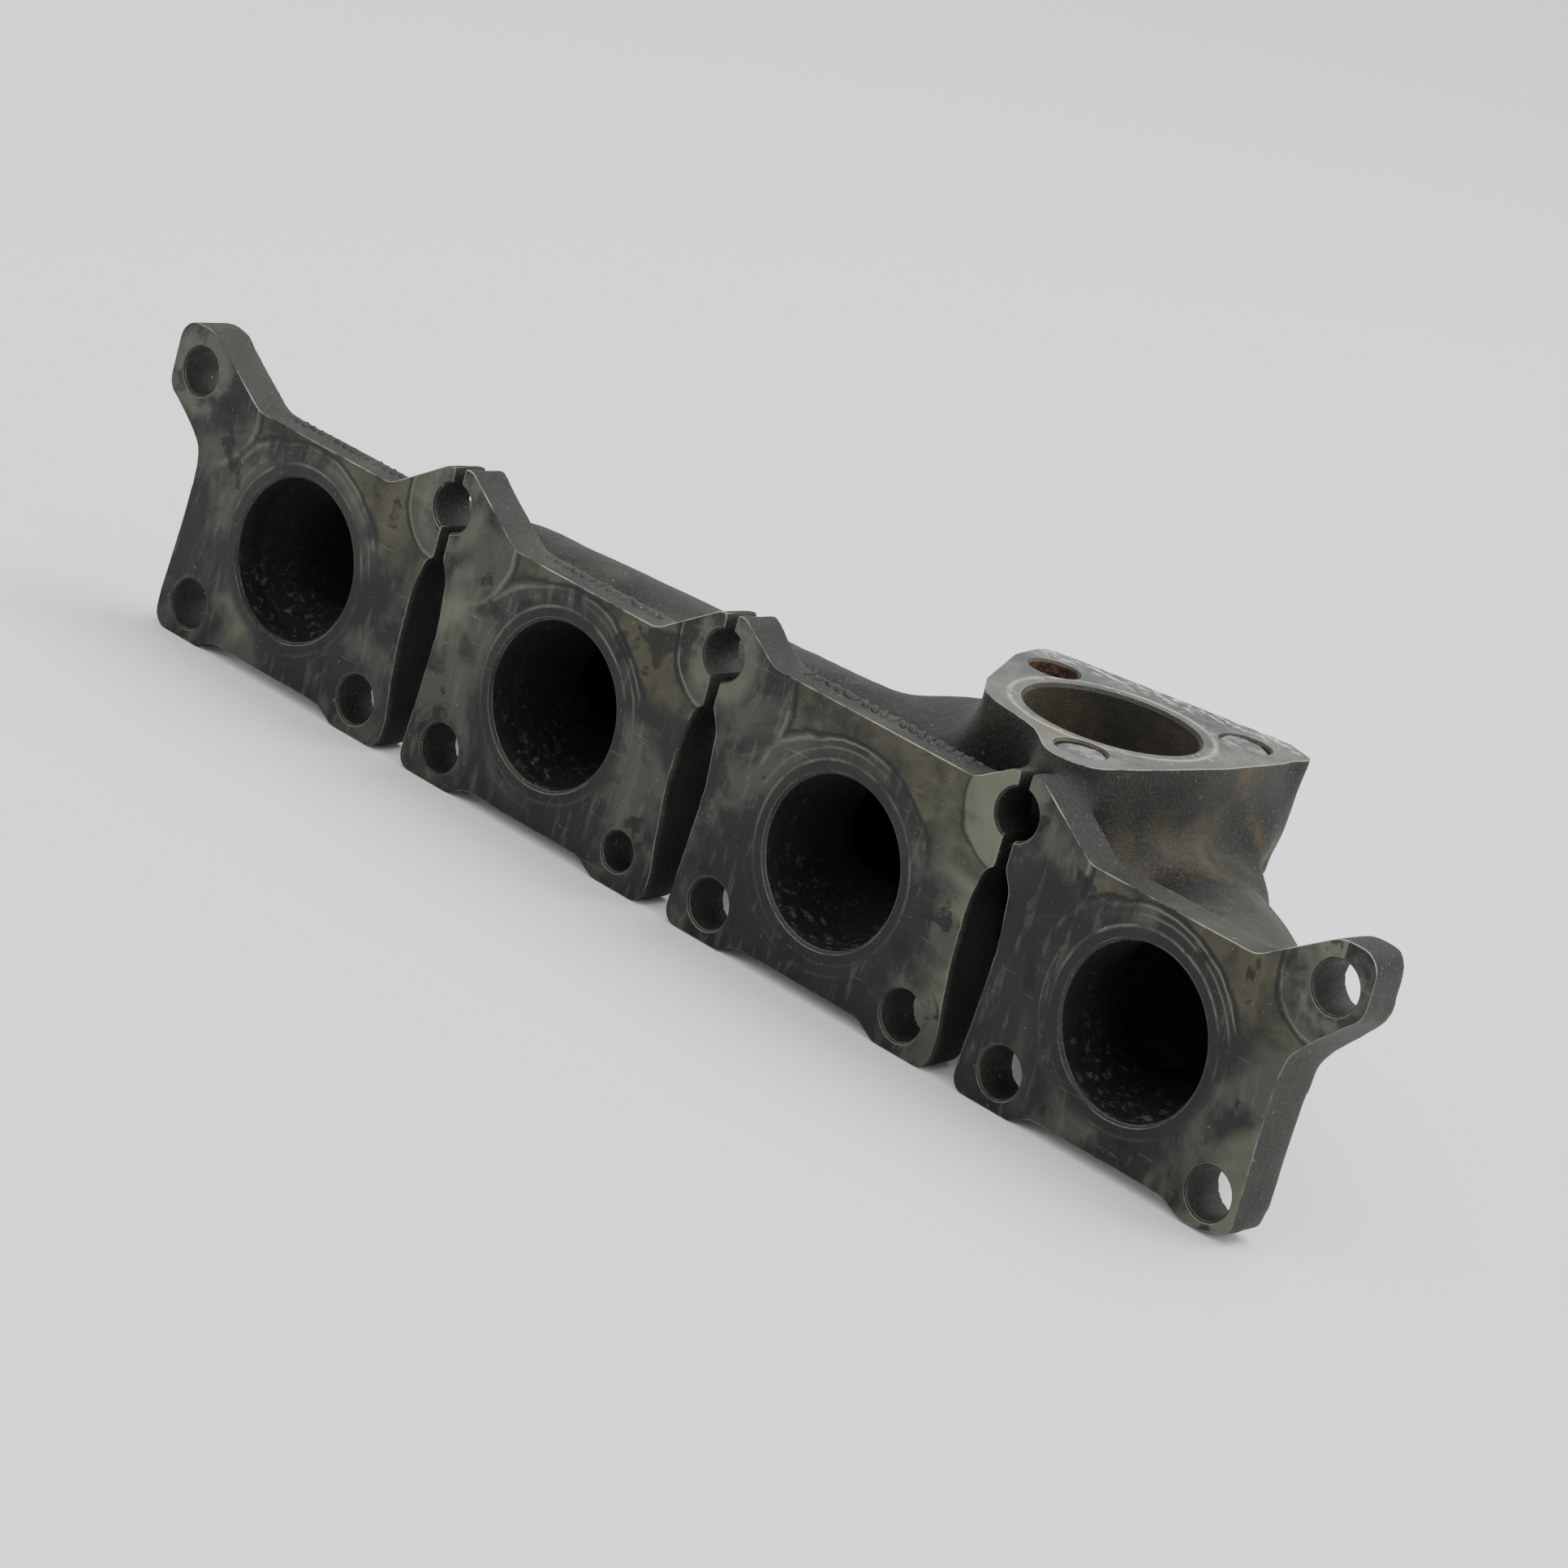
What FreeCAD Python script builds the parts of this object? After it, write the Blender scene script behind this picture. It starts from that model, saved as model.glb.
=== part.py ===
"""Cast-iron exhaust manifold for a four-cylinder engine, with two sheared studs left in it.

Frame: the machined head face is the plane y = 0 and looks along -Y, +X runs along the row of
ports, +Z is up. The origin is the centre of the middle upper stud hole on the head face.
"""
import FreeCAD
import Part
import math
import os

App = FreeCAD
V = App.Vector

doc = App.newDocument("ExhaustManifold")

# ---------------------------------------------------------------- driving dimensions (mm)
DIMS = [
    ("PortPitch", 88.0, "distance between neighbouring ports, the bore pitch of the engine"),
    ("PortDrop", 30.3, "ports below the row of upper stud holes"),
    ("PortBore", 38.0, "diameter of each port where it meets the head"),
    ("PortDeep", 8.0, "the ports keep their full bore this far in"),
    ("PlateThick", 11.5, "thickness of the four head plates"),
    ("StudHole", 11.2, "clearance holes for the head studs, wide for heat growth"),
    ("LocatingHole", 8.8, "the one close hole that locates the casting"),
    ("FootPitch", 59.0, "distance between the two lower holes of a plate"),
    ("FootDrop", 53.1, "lower holes below the row of upper stud holes"),
    ("SlotNeck", 3.1, "gap between neighbouring plates at the shared upper holes"),
    ("LogDepth", 44.0, "axis of the log behind the head face"),
    ("LogRise", 3.4, "axis of the log above the ports"),
    ("LogRadiusEnd", 17.1, "outer radius of the log at the far end"),
    ("FarBend", 27.0, "bend radius of the first runner into the log"),
    ("NearBend", 30.0, "bend radius of the last runner into the log"),
    ("LogRadiusMid", 22.2, "outer radius of the log under the outlet"),
    ("LogWall", 4.2, "wall of the log and of the runners"),
    ("LogTilt", 0.6, "the log climbs this many degrees towards the outlet"),
    ("RunnerRadius", 24.6, "outer radius of a runner behind its plate"),
    ("OutletRise", 43.4, "outlet face above the ports"),
    ("OutletPos", 205.1, "axis of the outlet beyond the first port"),
    ("OutletBore", 39.3, "diameter of the outlet"),
    ("BossDeep", 28.5, "the boss behind the outlet drops this far below its face"),
    ("OutletStud", 11.6, "threaded holes in the outlet flange"),
    ("OutletStudDeep", 15.0, "depth of the threaded holes"),
    ("StubGap", 0.5, "sheared studs end this far below the outlet face"),
]
sheet = doc.addObject("Spreadsheet::Sheet", "Dims")
for row, (alias, value, note) in enumerate(DIMS, start=1):
    sheet.set(f"A{row}", alias)
    sheet.set(f"B{row}", str(value))
    sheet.set(f"C{row}", note)
    sheet.setAlias(f"B{row}", alias)
doc.recompute()


def dim(alias):
    return float(sheet.get(alias))


PITCH = dim("PortPitch")
DROP = dim("PortDrop")
THICK = dim("PlateThick")
FIRST = -1.5 * PITCH                 # x of the first port
PORTS = [FIRST + k * PITCH for k in range(4)]


# ---------------------------------------------------------------- outlines
def rounded(points):
    """Lines and tangent arcs through (x, y, corner radius) points, as a closed chain."""
    count = len(points)
    corners = []
    for k in range(count):
        x0, y0, _ = points[k - 1]
        x1, y1, radius = points[k]
        x2, y2, _ = points[(k + 1) % count]
        here = V(x1, y1, 0)
        back = V(x0, y0, 0) - here
        ahead = V(x2, y2, 0) - here
        room = 0.49 * min(back.Length, ahead.Length)
        back.normalize()
        ahead.normalize()
        turn = back.getAngle(ahead)
        reach = min(radius / math.tan(turn / 2), room)
        true_radius = reach * math.tan(turn / 2)
        if math.pi - turn < 0.01 or reach < 0.02:
            corners.append((here, None, here))
            continue
        middle = back + ahead
        middle.normalize()
        centre = here + middle * (true_radius / math.sin(turn / 2))
        crown = centre - middle * true_radius
        corners.append((here + back * reach, crown, here + ahead * reach))
    chain = []
    for k in range(count):
        start, crown, end = corners[k]
        following = corners[(k + 1) % count][0]
        if crown is not None:
            chain.append(Part.Arc(start, crown, end))
        if (following - end).Length > 1e-4:
            chain.append(Part.LineSegment(end, following))
    return chain


def sketch_in(body, name, role, points):
    """A sketch on one of the body's own planes, drawn from rounded points."""
    sketch = body.newObject("Sketcher::SketchObject", name)
    plane = [o for o in body.Origin.OriginFeatures if o.Role == role][0]
    sketch.AttachmentSupport = (plane, "")
    sketch.MapMode = "FlatFace"
    for edge in rounded(points):
        sketch.addGeometry(edge, False)
    return sketch


# ---------------------------------------------------------------- head plates
EAR_TOP = 40.2                       # heights are counted from the port centres
SHOULDER = 28.4
TALL_SHOULDER = 33.3                 # the third plate is taller than the others
FOOT = -31.4
HALF = PITCH / 2


def plate_points(index):
    """Outline of one head plate, clockwise from its lower left corner."""
    port = PORTS[index]
    left, right = port - HALF, port + HALF
    top = TALL_SHOULDER if index == 2 else SHOULDER
    wide = 29.5 if index == 2 else 22.3
    if index == 0:
        side = [(port - 39.4, FOOT, 5), (port - 39.4, -23, 9), (port - 37.4, 2, 20),
                (port - 37.7, 14.2, 7), (port - 53.2, 24.6, 5), (port - 53.2, 40.7, 9.5),
                (port - 42.6, 40.7, 8)]
    else:
        side = [(left + 3.3, FOOT, 5.5), (left + 3.7, -24, 9), (left + 5.4, 1, 25),
                (left + 3.7, 14.2, 5), (left + 1.2, 18.4, 1), (left + 1.2, EAR_TOP, 0.6),
                (left + 3.4, EAR_TOP, 5)]
    side += [(port - wide, top, 6), (port + wide + 1.2, top, 6)]
    if index == 3:
        side += [(port + 42.2, 40.5, 8), (port + 52.7, 40.5, 10.2), (port + 52.7, 27.6, 6),
                 (port + 37.4, 13.0, 7), (port + 36.8, 0, 20), (port + 37.5, -28.4, 2.2),
                 (port + 30, -30.9, 4)]
    else:
        side += [(right - 3.8, EAR_TOP - 1.0, 5), (right - 1.9, EAR_TOP - 1.0, 0.6),
                 (right - 1.9, 17.4, 0.6), (right - 3.6, 16.6, 1.5), (right - 5.7, 9.5, 7),
                 (right - 6.4, 0, 20), (right - 5.8, -11, 20), (right - 4.0, -23.5, 2),
                 (right - 4.4, FOOT, 5.5)]
    side += [(port + 24, FOOT if index < 3 else -30.9, 4), (port + 18.5, -28.5, 4),
             (port - 18.5, -28.5, 4), (port - 24, FOOT, 4)]
    return [(x, z - DROP, r) for x, z, r in side]


def flank_points(index, hand):
    """The strip along one flank: x, height, corner radius, then its shift out at the back."""
    port = PORTS[index]
    left, right = port - HALF, port + HALF
    if hand < 0 and index == 0:
        return [(port - 26, FOOT, 0, 0, 0), (port - 39.4, FOOT, 5, -0.8, 0), (port - 39.4, -23, 9, -1.2, 0),
                (port - 37.4, 2, 20, -2.0, 0), (port - 37.7, 14.2, 7, -2.6, -2.0),
                (port - 53.2, 24.6, 5, 0, -2.4), (port - 53.2, 31, 0, 0, 0), (port - 44, 31, 0, 0, 0),
                (port - 26, 14, 0, 0, 0)]
    if hand < 0:
        return [(port - 26, FOOT, 0, 0, 0), (left + 3.3, FOOT, 5.5, -0.6, 0), (left + 3.7, -24, 9, -1.0, 0),
                (left + 5.4, 1, 25, -2.0, 0), (left + 4.04, 11.56, 0, 0, 0), (port - 26, 11.56, 0, 0, 0)]
    if index == 3:
        return [(port + 52.7, 34, 0, 0, 0), (port + 52.7, 27.6, 6, 0.2, -2.4), (port + 37.4, 13, 7, 2.8, -2.0),
                (port + 36.8, 0, 20, 2.1, 0), (port + 37.5, -28.4, 2.2, 0.9, 0), (port + 30, -30.9, 4, 0, 0),
                (port + 25.5, -30.9, 0, 0, 0), (port + 25.5, 10, 0, 0, 0), (port + 44, 34, 0, 0, 0)]
    return [(right - 4.65, 13.05, 0, 0, 0), (right - 5.7, 9.5, 7, 1.2, 0), (right - 6.4, 0, 20, 2.5, 0),
            (right - 5.8, -11, 20, 2.4, 0), (right - 4.0, -23.5, 2, 1.4, 0), (right - 4.4, FOOT, 5.5, 0.8, 0),
            (port + 26, FOOT, 0, 0, 0), (port + 26, 13.05, 0, 0, 0)]


outer = []                           # everything that adds metal to the casting
for index in range(4):
    body = doc.addObject("PartDesign::Body", f"Plate{index + 1}")
    profile = sketch_in(body, f"PlateSketch{index + 1}", "XZ_Plane", plate_points(index))
    pad = body.newObject("PartDesign::Pad", f"PlatePad{index + 1}")
    pad.Profile = profile
    pad.Reversed = True
    pad.setExpression("Length", "Dims.PlateThick")
    for hand, side in ((-1, "Left"), (1, "Right")):
        strip = flank_points(index, hand)
        front = sketch_in(body, f"Flank{side}Front{index + 1}", "XZ_Plane",
                          [(x, z - DROP, r) for x, z, r, out, up in strip])
        back = sketch_in(body, f"Flank{side}Back{index + 1}", "XZ_Plane",
                         [(x + out, z + up - DROP, r) for x, z, r, out, up in strip])
        back.setExpression("AttachmentOffset.Base.z", "-Dims.PlateThick")
        flare = body.newObject("PartDesign::AdditiveLoft", f"Flank{side}{index + 1}")
        flare.Profile = front
        flare.Sections = [back]
        flare.Ruled = True
    outer.append(body)
doc.recompute()


# ---------------------------------------------------------------- round parts
AIM = {"x": App.Rotation(V(0, 0, 1), V(1, 0, 0)), "y": App.Rotation(V(0, 0, 1), V(0, 1, 0)),
       "z": App.Rotation()}


def place(obj, pos, axis="z"):
    """Puts the object at a position given as three expressions of the sheet."""
    obj.Placement = App.Placement(V(0, 0, 0), AIM[axis])
    for letter, text in zip("xyz", pos):
        obj.setExpression(f"Placement.Base.{letter}", text)
    return obj


def cylinder(name, radius, length, pos, axis="z"):
    obj = doc.addObject("Part::Cylinder", name)
    obj.setExpression("Radius", radius)
    obj.setExpression("Height", length)
    return place(obj, pos, axis)


def cone(name, radius1, radius2, length, pos, axis="z"):
    obj = doc.addObject("Part::Cone", name)
    obj.setExpression("Radius1", radius1)
    obj.setExpression("Radius2", radius2)
    obj.setExpression("Height", length)
    return place(obj, pos, axis)


def port_x(index):
    return f"Dims.PortPitch * {index - 1.5}"


LOG_Z = "Dims.LogRise - Dims.PortDrop"
PORT_Z = "-Dims.PortDrop"



def bend(name, index, bend_radius, tube_radius, rise, sign):
    """A quarter bend from a port into the log; sign is +1 where the log lies towards -X."""
    obj = doc.addObject("Part::Torus", name)
    obj.setExpression("Radius1", bend_radius)
    obj.setExpression("Radius2", tube_radius)
    obj.Angle3 = 90
    turn = App.Rotation(V(0, 0, 1), 0 if sign > 0 else 90)
    obj.Placement = App.Placement(V(0, 0, 0), turn)
    obj.setExpression("Placement.Base.x", f"{port_x(index)} - ({sign}) * {bend_radius}")
    obj.setExpression("Placement.Base.y", f"Dims.LogDepth - {bend_radius}")
    obj.setExpression("Placement.Base.z", f"{PORT_Z} + {rise}")
    return obj


outer.append(cone("Runner1", "Dims.RunnerRadius", "Dims.LogRadiusEnd + 1", "Dims.LogDepth - Dims.FarBend - 4.9",
                  (port_x(0), "5", PORT_Z), "y"))
outer.append(bend("Bend1", 0, "Dims.FarBend", "Dims.LogRadiusEnd + 0.8", 0.6, -1))
for index in (1, 2):
    outer.append(cone(f"Runner{index + 1}", "Dims.RunnerRadius", "Dims.LogRadiusEnd - 0.5",
                      "Dims.LogDepth - 5", (port_x(index), "5", PORT_Z), "y"))
outer.append(cone("Runner4", "Dims.RunnerRadius", "Dims.LogRadiusMid + 0.8", "Dims.LogDepth - Dims.NearBend - 4.9",
                  (port_x(3), "5", PORT_Z), "y"))
outer.append(bend("Bend4", 3, "Dims.NearBend", "Dims.LogRadiusMid + 0.5", 1.5, 1))


def log_body(name, end_radius, mid_radius):
    """The tapered log between the two bends, turned about its own axis."""
    body = doc.addObject("PartDesign::Body", name)
    body.Placement = App.Placement(V(0, 0, 0), App.Rotation(V(0, 1, 0), -dim("LogTilt")))
    body.setExpression("Placement.Base.y", "Dims.LogDepth")
    body.setExpression("Placement.Base.z", LOG_Z)
    sketch = body.newObject("Sketcher::SketchObject", name + "Sketch")
    plane = [o for o in body.Origin.OriginFeatures if o.Role == "XY_Plane"][0]
    sketch.AttachmentSupport = (plane, "")
    sketch.MapMode = "FlatFace"
    start = PORTS[0] + dim("FarBend") - 1
    end = PORTS[3] - dim("NearBend") + 1
    corners = [V(start, 0, 0), V(start, end_radius, 0), V(FIRST + 2.1 * PITCH, mid_radius, 0),
               V(end, mid_radius, 0), V(end, 0, 0)]
    for here, ahead in zip(corners, corners[1:] + corners[:1]):
        sketch.addGeometry(Part.LineSegment(here, ahead), False)
    turned = body.newObject("PartDesign::Revolution", name + "Turn")
    turned.Profile = sketch
    turned.ReferenceAxis = (sketch, ["H_Axis"])
    turned.Angle = 360
    return body


outer.append(log_body("Log", dim("LogRadiusEnd"), dim("LogRadiusMid")))

# ---------------------------------------------------------------- outlet flange and its neck
OUTLET_X = FIRST + dim("OutletPos")
OUTLET_Y = dim("LogDepth")
OUTLET_Z = dim("OutletRise") - DROP
STUD_SPOTS = [(-27.0, 11.5), (13.0, -26.0), (17.6, 25.6)]     # from the outlet axis
FLANGE = [(-38.8, 21.2, 4), (-36.2, 8.2, 10), (-25.0, -14.6, 12), (-17.5, -23.6, 9),
          (1.0, -27.9, 9), (12.6, -37.4, 9), (22.9, -35.1, 9.5), (26.0, -17.6, 30),
          (28.7, 6.0, 30), (28.3, 37.2, 3), (19.4, 39.4, 7), (-31.0, 24.2, 6)]


def neck_section(level, left, right, front, back):
    """The flange's outline at one height, drawn in or let out on each side, as a smooth wire."""
    points = []
    for piece in rounded(FLANGE):
        steps = max(2, int(piece.length() / 3.0))
        for k in range(steps):
            point = piece.value(piece.FirstParameter
                                + (piece.LastParameter - piece.FirstParameter) * k / steps)
            x, y = point.x, point.y
            x += left * min(1.0, max(0.0, -x / 30)) - right * min(1.0, max(0.0, x / 26))
            y += front * min(1.0, max(0.0, -y / 30)) - back * min(1.0, max(0.0, y / 34))
            points.append(V(OUTLET_X + x, OUTLET_Y + y, OUTLET_Z + level))
    curve = Part.BSplineCurve()
    curve.interpolate(points, PeriodicFlag=True)
    return Part.Wire(curve.toShape())


# The flange and its neck are one loft: straight below the face, then let out along the log.
neck = doc.addObject("Part::Feature", "OutletNeck")
neck.Shape = Part.makeLoft([neck_section(0, 0, 0, 0, 0), neck_section(-8, -0.3, 0.4, 1.5, 0.5),
                            neck_section(-13, -5, 0.2, 3, 2), neck_section(-18, -18, -1.5, 5.5, 6),
                            neck_section(-25, -28, -6, 9, 11), neck_section(-36, -34, -12, 19, 21)],
                           True, False)
outer.append(neck)

# The boss behind the flange drops straight down past the log.
boss = doc.addObject("PartDesign::Body", "OutletBoss")
boss.setExpression("Placement.Base.x", "Dims.OutletPos - Dims.PortPitch * 1.5")
boss.setExpression("Placement.Base.y", "Dims.LogDepth")
boss.setExpression("Placement.Base.z", "Dims.OutletRise - Dims.PortDrop - 1")
boss_sketch = sketch_in(boss, "BossSketch", "XY_Plane",
                        [(8.0, 10.0, 4), (26.0, 14.0, 6), (27.9, 36.9, 3), (19.0, 38.9, 7), (7.0, 34.0, 6)])
boss_pad = boss.newObject("PartDesign::Pad", "BossPad")
boss_pad.Profile = boss_sketch
boss_pad.Reversed = True
boss_pad.setExpression("Length", "Dims.BossDeep - 1")
outer.append(boss)

# ---------------------------------------------------------------- hollow: gas path
inner = []
for index in range(4):
    inner.append(cylinder(f"Port{index + 1}", "Dims.PortBore / 2", "Dims.PortDeep + 2",
                          (port_x(index), "-2", PORT_Z), "y"))
for index, narrow, reach in ((0, "Dims.LogRadiusEnd - Dims.LogWall + 0.8", "Dims.LogDepth - Dims.FarBend"),
                             (1, "Dims.LogRadiusEnd - Dims.LogWall", "Dims.LogDepth"),
                             (2, "Dims.LogRadiusEnd - Dims.LogWall", "Dims.LogDepth"),
                             (3, "Dims.LogRadiusMid - Dims.LogWall + 0.5", "Dims.LogDepth - Dims.NearBend")):
    inner.append(cone(f"PortBack{index + 1}", "Dims.PortBore / 2", narrow, f"{reach} - Dims.PortDeep + 0.1",
                      (port_x(index), "Dims.PortDeep", PORT_Z), "y"))
inner.append(bend("BendHollow1", 0, "Dims.FarBend", "Dims.LogRadiusEnd - Dims.LogWall + 0.8", 0.6, -1))
inner.append(bend("BendHollow4", 3, "Dims.NearBend", "Dims.LogRadiusMid - Dims.LogWall + 0.5", 1.5, 1))
wall = dim("LogWall")
inner.append(log_body("LogHollow", dim("LogRadiusEnd") - wall, dim("LogRadiusMid") - wall))
outlet_centre = ("Dims.OutletPos - Dims.PortPitch * 1.5", "Dims.LogDepth")
inner.append(cone("OutletThroat", "Dims.LogRadiusMid - Dims.LogWall - 1", "Dims.OutletBore / 2",
                  "Dims.OutletRise - Dims.LogRise - 19", outlet_centre + (LOG_Z,)))
inner.append(cylinder("OutletHollow", "Dims.OutletBore / 2", "22",
                      outlet_centre + ("Dims.OutletRise - Dims.PortDrop - 19",)))

# ---------------------------------------------------------------- machined holes
for index in range(5):
    inner.append(cylinder(f"UpperHole{index + 1}", "Dims.StudHole / 2",
                          "Dims.PlateThick + 2.5" if index == 3 else "Dims.PlateThick + 12",
                          (f"Dims.PortPitch * {index - 2}", "-2", "0"), "y"))
for index in range(4):
    for side, sign in (("L", "-"), ("R", "+")):
        located = index == 1 and side == "R"
        inner.append(cylinder(f"LowerHole{index + 1}{side}",
                              "Dims.LocatingHole / 2" if located else "Dims.StudHole / 2",
                              "Dims.PlateThick + 4",
                              (f"{port_x(index)} {sign} Dims.FootPitch / 2", "-2", "-Dims.FootDrop"), "y"))
outlet_spots = []
for number, (x, y) in enumerate(STUD_SPOTS, start=1):
    spot = (f"Dims.OutletPos - Dims.PortPitch * 1.5 + {x}", f"Dims.LogDepth + {y}")
    outlet_spots.append(spot)
    inner.append(cylinder(f"OutletHole{number}", "Dims.OutletStud / 2", "Dims.OutletStudDeep + 3",
                          spot + ("Dims.OutletRise - Dims.PortDrop - Dims.OutletStudDeep",)))

metal = outer[0]
for number, addition in enumerate(outer[1:], start=1):
    joined = doc.addObject("Part::Fuse", f"Metal{number}")
    joined.Base = metal
    joined.Tool = addition
    joined.Refine = False
    metal = joined
hollow = doc.addObject("Part::MultiFuse", "Hollow")
hollow.Shapes = inner
casting = doc.addObject("Part::Cut", "Casting")
casting.Base = metal
casting.Tool = hollow
casting.Label = "manifold_casting"

# ---------------------------------------------------------------- sheared studs
stubs = []
for label, spot in (("sheared_stud_front", outlet_spots[1]), ("sheared_stud_rear", outlet_spots[2])):
    stub = cylinder("Stub" + label[-4:].title(), "Dims.OutletStud / 2",
                    "Dims.OutletStudDeep - Dims.StubGap",
                    spot + ("Dims.OutletRise - Dims.PortDrop - Dims.OutletStudDeep",))
    stub.Label = label
    stubs.append(stub)

doc.recompute()

# ---------------------------------------------------------------- checks and export
for obj in doc.Objects:
    if "Invalid" in obj.State or "Error" in obj.State:
        raise RuntimeError(f"{obj.Name} failed: {obj.State}")
pieces = [casting] + stubs
for obj in pieces:
    if obj.Shape.isNull() or not obj.Shape.isValid():
        raise RuntimeError(f"{obj.Label} has no valid shape")
os.makedirs("parts", exist_ok=True)
for obj in pieces:
    obj.Shape.exportStep(f"parts/{obj.Label}.step")
    box = obj.Shape.BoundBox
    print(obj.Label, len(obj.Shape.Solids), "solid(s)", round(obj.Shape.Volume / 1000, 1), "cm3",
          [round(v, 1) for v in (box.XMin, box.YMin, box.ZMin, box.XMax, box.YMax, box.ZMax)])
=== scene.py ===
"""Looks of a used cast-iron exhaust manifold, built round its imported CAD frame."""
import bpy
import bmesh
import math
import numpy as np
from mathutils import Matrix, Vector, noise


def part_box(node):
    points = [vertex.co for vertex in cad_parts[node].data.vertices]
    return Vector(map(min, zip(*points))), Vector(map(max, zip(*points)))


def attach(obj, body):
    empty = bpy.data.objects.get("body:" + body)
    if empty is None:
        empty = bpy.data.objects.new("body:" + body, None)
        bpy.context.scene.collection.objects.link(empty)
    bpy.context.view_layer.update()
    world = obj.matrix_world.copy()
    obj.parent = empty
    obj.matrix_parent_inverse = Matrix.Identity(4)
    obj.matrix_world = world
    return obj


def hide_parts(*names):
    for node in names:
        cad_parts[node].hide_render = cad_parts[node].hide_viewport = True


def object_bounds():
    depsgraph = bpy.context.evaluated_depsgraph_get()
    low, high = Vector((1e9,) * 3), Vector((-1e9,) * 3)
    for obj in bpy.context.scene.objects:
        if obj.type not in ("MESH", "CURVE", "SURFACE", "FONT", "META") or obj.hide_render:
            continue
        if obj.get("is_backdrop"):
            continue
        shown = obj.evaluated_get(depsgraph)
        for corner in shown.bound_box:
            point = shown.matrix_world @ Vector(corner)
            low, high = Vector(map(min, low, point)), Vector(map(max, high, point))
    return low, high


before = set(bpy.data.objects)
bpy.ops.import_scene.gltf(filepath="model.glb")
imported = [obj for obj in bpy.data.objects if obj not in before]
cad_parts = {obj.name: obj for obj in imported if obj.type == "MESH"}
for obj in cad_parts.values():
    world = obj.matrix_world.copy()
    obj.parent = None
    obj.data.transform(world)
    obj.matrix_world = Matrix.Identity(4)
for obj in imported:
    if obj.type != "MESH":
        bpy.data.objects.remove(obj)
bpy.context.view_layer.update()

# Metres in the frame of the casting: head face on y = 0, ports in a row along x, z up.
PITCH = 0.088
PORTS = [(k - 1.5) * PITCH for k in range(4)]
PORT_Z = -0.0303
PORT_R = 0.019
PLATE = 0.0115                                   # thickness of the head plates
EARS = [(k - 2) * PITCH for k in range(5)]       # upper stud holes, at z = 0
EAR_R = 0.0056                                   # these, and the lower holes but for one
LOCATING_R = 0.0044                              # the lower hole to the right of the second port
FOOT_X, FOOT_Z = 0.0295, -0.0531                 # lower holes, either side of each port
LOG_Y, LOG_Z = 0.044, -0.027                     # the log's axis
OUTLET = Vector((0.0731, 0.044, 0.0131))         # middle of the outlet face
OUTLET_R = 0.01965
STUDS = [(-0.0270, 0.0115), (0.0130, -0.0260), (0.0176, 0.0256)]    # from the middle of the outlet
STUD_R = 0.0058
RIDGE_TOP = Vector((0, 0.058, 0.008))            # parting ridge on the neck's right side
RIDGE_LEAN, RIDGE_DROP = 0.9, 0.023              # its way back for each metre down, and its height

DRAWN_OUT = 0.004            # machined faces stand proud by this until they are cut back
VOXEL = 0.0008
SMOOTHING_TURNS = 150
KEPT_SHARE = 0.33            # of the skin's triangles
MERGED = 3e-6                # slivers of the cutting narrower than this are merged
ON_FACE = 0.00003            # a polygon this close to a machined plane belongs to it


# ------------------------------------------------------------------ mesh helpers
def keep(name, mesh):
    obj = bpy.data.objects.new(name, mesh)
    bpy.context.scene.collection.objects.link(obj)
    return obj


def drop(obj):
    bpy.data.objects.remove(obj, do_unlink=True)


def finished(obj, name):
    """The object with its modifiers worked in, as a new object; the old one goes."""
    graph = bpy.context.evaluated_depsgraph_get()
    mesh = bpy.data.meshes.new_from_object(obj.evaluated_get(graph))
    drop(obj)
    return keep(name, mesh)


def combine(obj, other, operation, name):
    tool = obj.modifiers.new("combine", "BOOLEAN")
    tool.object = other
    tool.operation = operation
    tool.solver = "MANIFOLD"
    result = finished(obj, name)
    drop(other)
    return result


def box_object(low, high):
    bm = bmesh.new()
    bmesh.ops.create_cube(bm, size=1)
    size = Vector(high) - Vector(low)
    bmesh.ops.scale(bm, vec=size, verts=bm.verts)
    bmesh.ops.translate(bm, vec=(Vector(low) + Vector(high)) / 2, verts=bm.verts)
    mesh = bpy.data.meshes.new("block")
    bm.to_mesh(mesh)
    bm.free()
    return keep("block", mesh)


def turned_cutter(bm, axis_point, axis, profile, sides=96):
    """Adds a closed turned solid to bm; profile is (distance along axis, radius) pairs."""
    turn = Vector((0, 0, 1)).rotation_difference(Vector(axis)).to_matrix().to_4x4()
    place = Matrix.Translation(axis_point) @ turn
    rings = []
    for along, radius in profile:
        ring = [bm.verts.new(place @ Vector((radius * math.cos(a), radius * math.sin(a), along)))
                for a in (2 * math.pi * k / sides for k in range(sides))]
        rings.append(ring)
    faces = [bm.faces.new(list(reversed(rings[0]))), bm.faces.new(rings[-1])]
    for one, two in zip(rings, rings[1:]):
        for k in range(sides):
            j = (k + 1) % sides
            faces.append(bm.faces.new((one[k], one[j], two[j], two[k])))
    bmesh.ops.recalc_face_normals(bm, faces=faces)


def coordinates(mesh):
    points = np.empty(len(mesh.vertices) * 3, np.float32)
    mesh.vertices.foreach_get("co", points)
    return points.reshape(-1, 3)


def ramp(value, low, high):
    part = np.clip((value - low) / (high - low), 0, 1)
    return part * part * (3 - 2 * part)


def band(value, rise_from, rise_to, fall_from, fall_to):
    """1 between two eased slopes, 0 outside them."""
    return ramp(value, rise_from, rise_to) * (1 - ramp(value, fall_from, fall_to))


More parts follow.
